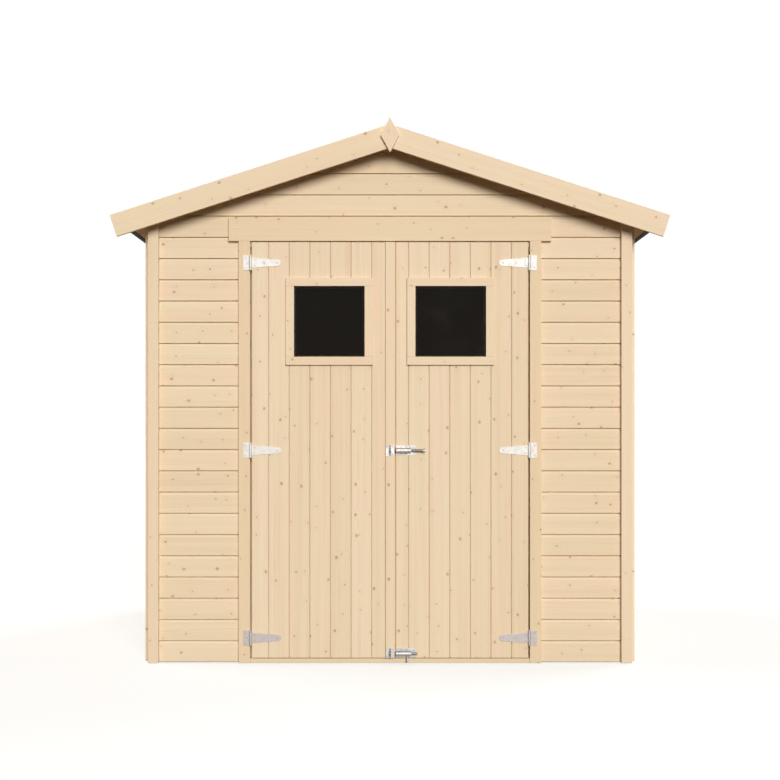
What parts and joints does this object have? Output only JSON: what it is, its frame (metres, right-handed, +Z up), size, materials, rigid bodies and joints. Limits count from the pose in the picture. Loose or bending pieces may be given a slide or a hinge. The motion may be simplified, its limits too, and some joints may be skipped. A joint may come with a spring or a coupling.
{
  "type": "wooden garden shed",
  "caption": "Apex garden shed of natural spruce shiplap, with windowed double doors in the gable front, strap hinges, slide bolts, a boarded floor and a felted roof.",
  "frame": {"origin": "on the ground under the middle of the shed", "axes": "+Z up; the doors face -Y; +X to the right of someone looking at the doors, along the widest side of the roof"},
  "size_m": [2.306, 2.244, 2.2566],
  "materials": {
    "cladding": "planed natural spruce",
    "trim_wood": "planed natural spruce",
    "door_wood": "planed natural spruce",
    "framing": "sawn natural spruce",
    "floor_wood": "sawn natural spruce",
    "roof_boards": "sawn natural spruce",
    "roofing_felt": "black bitumen felt with mineral grains",
    "zinc": "bright zinc plated",
    "window_glass": "clear pane against a dark inside"
  },
  "bodies": {
    "shed": {"floor_joists": "floor_wood", "floor_boards": "floor_wood", "door_threshold": "floor_wood", "front_wall_left": "cladding", "front_wall_right": "cladding", "front_gable": "cladding", "back_wall": "cladding", "left_wall": "cladding", "right_wall": "cladding", "gable_wall_studs": "framing", "gable_wall_rails": "framing", "side_wall_studs": "framing", "side_wall_rails": "framing", "gable_rafters": "framing", "front_corner_trims": "trim_wood", "back_corner_trims": "trim_wood", "side_corner_trims": "trim_wood", "door_jamb_left": "trim_wood", "door_jamb_right": "trim_wood", "door_header": "trim_wood", "hinge_plates_left": "zinc", "hinge_plates_right": "zinc", "ridge_beam": "framing", "purlins": "framing", "roof_deck_left": "roof_boards", "roof_deck_right": "roof_boards", "roof_felt_left": "roofing_felt", "roof_felt_right": "roofing_felt", "ridge_felt": "roofing_felt", "bargeboards_left": "trim_wood", "bargeboards_right": "trim_wood", "finials": "trim_wood"},
    "left_door": {"left_door_panel": "door_wood", "left_door_ledges": "door_wood", "left_door_brace": "door_wood", "left_window_frame": "trim_wood", "left_window_pane": "window_glass", "left_hinge_straps": "zinc", "meeting_strip": "trim_wood", "bolt_keepers": "zinc"},
    "right_door": {"right_door_panel": "door_wood", "right_door_ledges": "door_wood", "right_door_brace": "door_wood", "right_window_frame": "trim_wood", "right_window_pane": "window_glass", "right_hinge_straps": "zinc", "bolt_barrels": "zinc"},
    "upper_bolt": {"upper_bolt": "zinc"},
    "lower_bolt": {"lower_bolt": "zinc"}
  },
  "joints": [
    {"name": "left_door_hinge", "type": "hinge", "parent": "shed", "child": "left_door", "pos_m": [-0.5815, -1.0265, 0.888], "axis": [0, 0, -1], "range_deg": [0, 165]},
    {"name": "right_door_hinge", "type": "hinge", "parent": "shed", "child": "right_door", "pos_m": [0.5815, -1.0265, 0.888], "axis": [0, 0, 1], "range_deg": [0, 165]},
    {"name": "upper_bolt_slide", "type": "slide", "parent": "right_door", "child": "upper_bolt", "axis": [-1, 0, 0], "range_m": [0, 0.048]},
    {"name": "lower_bolt_slide", "type": "slide", "parent": "right_door", "child": "lower_bolt", "axis": [-1, 0, 0], "range_m": [0, 0.048]}
  ]
}
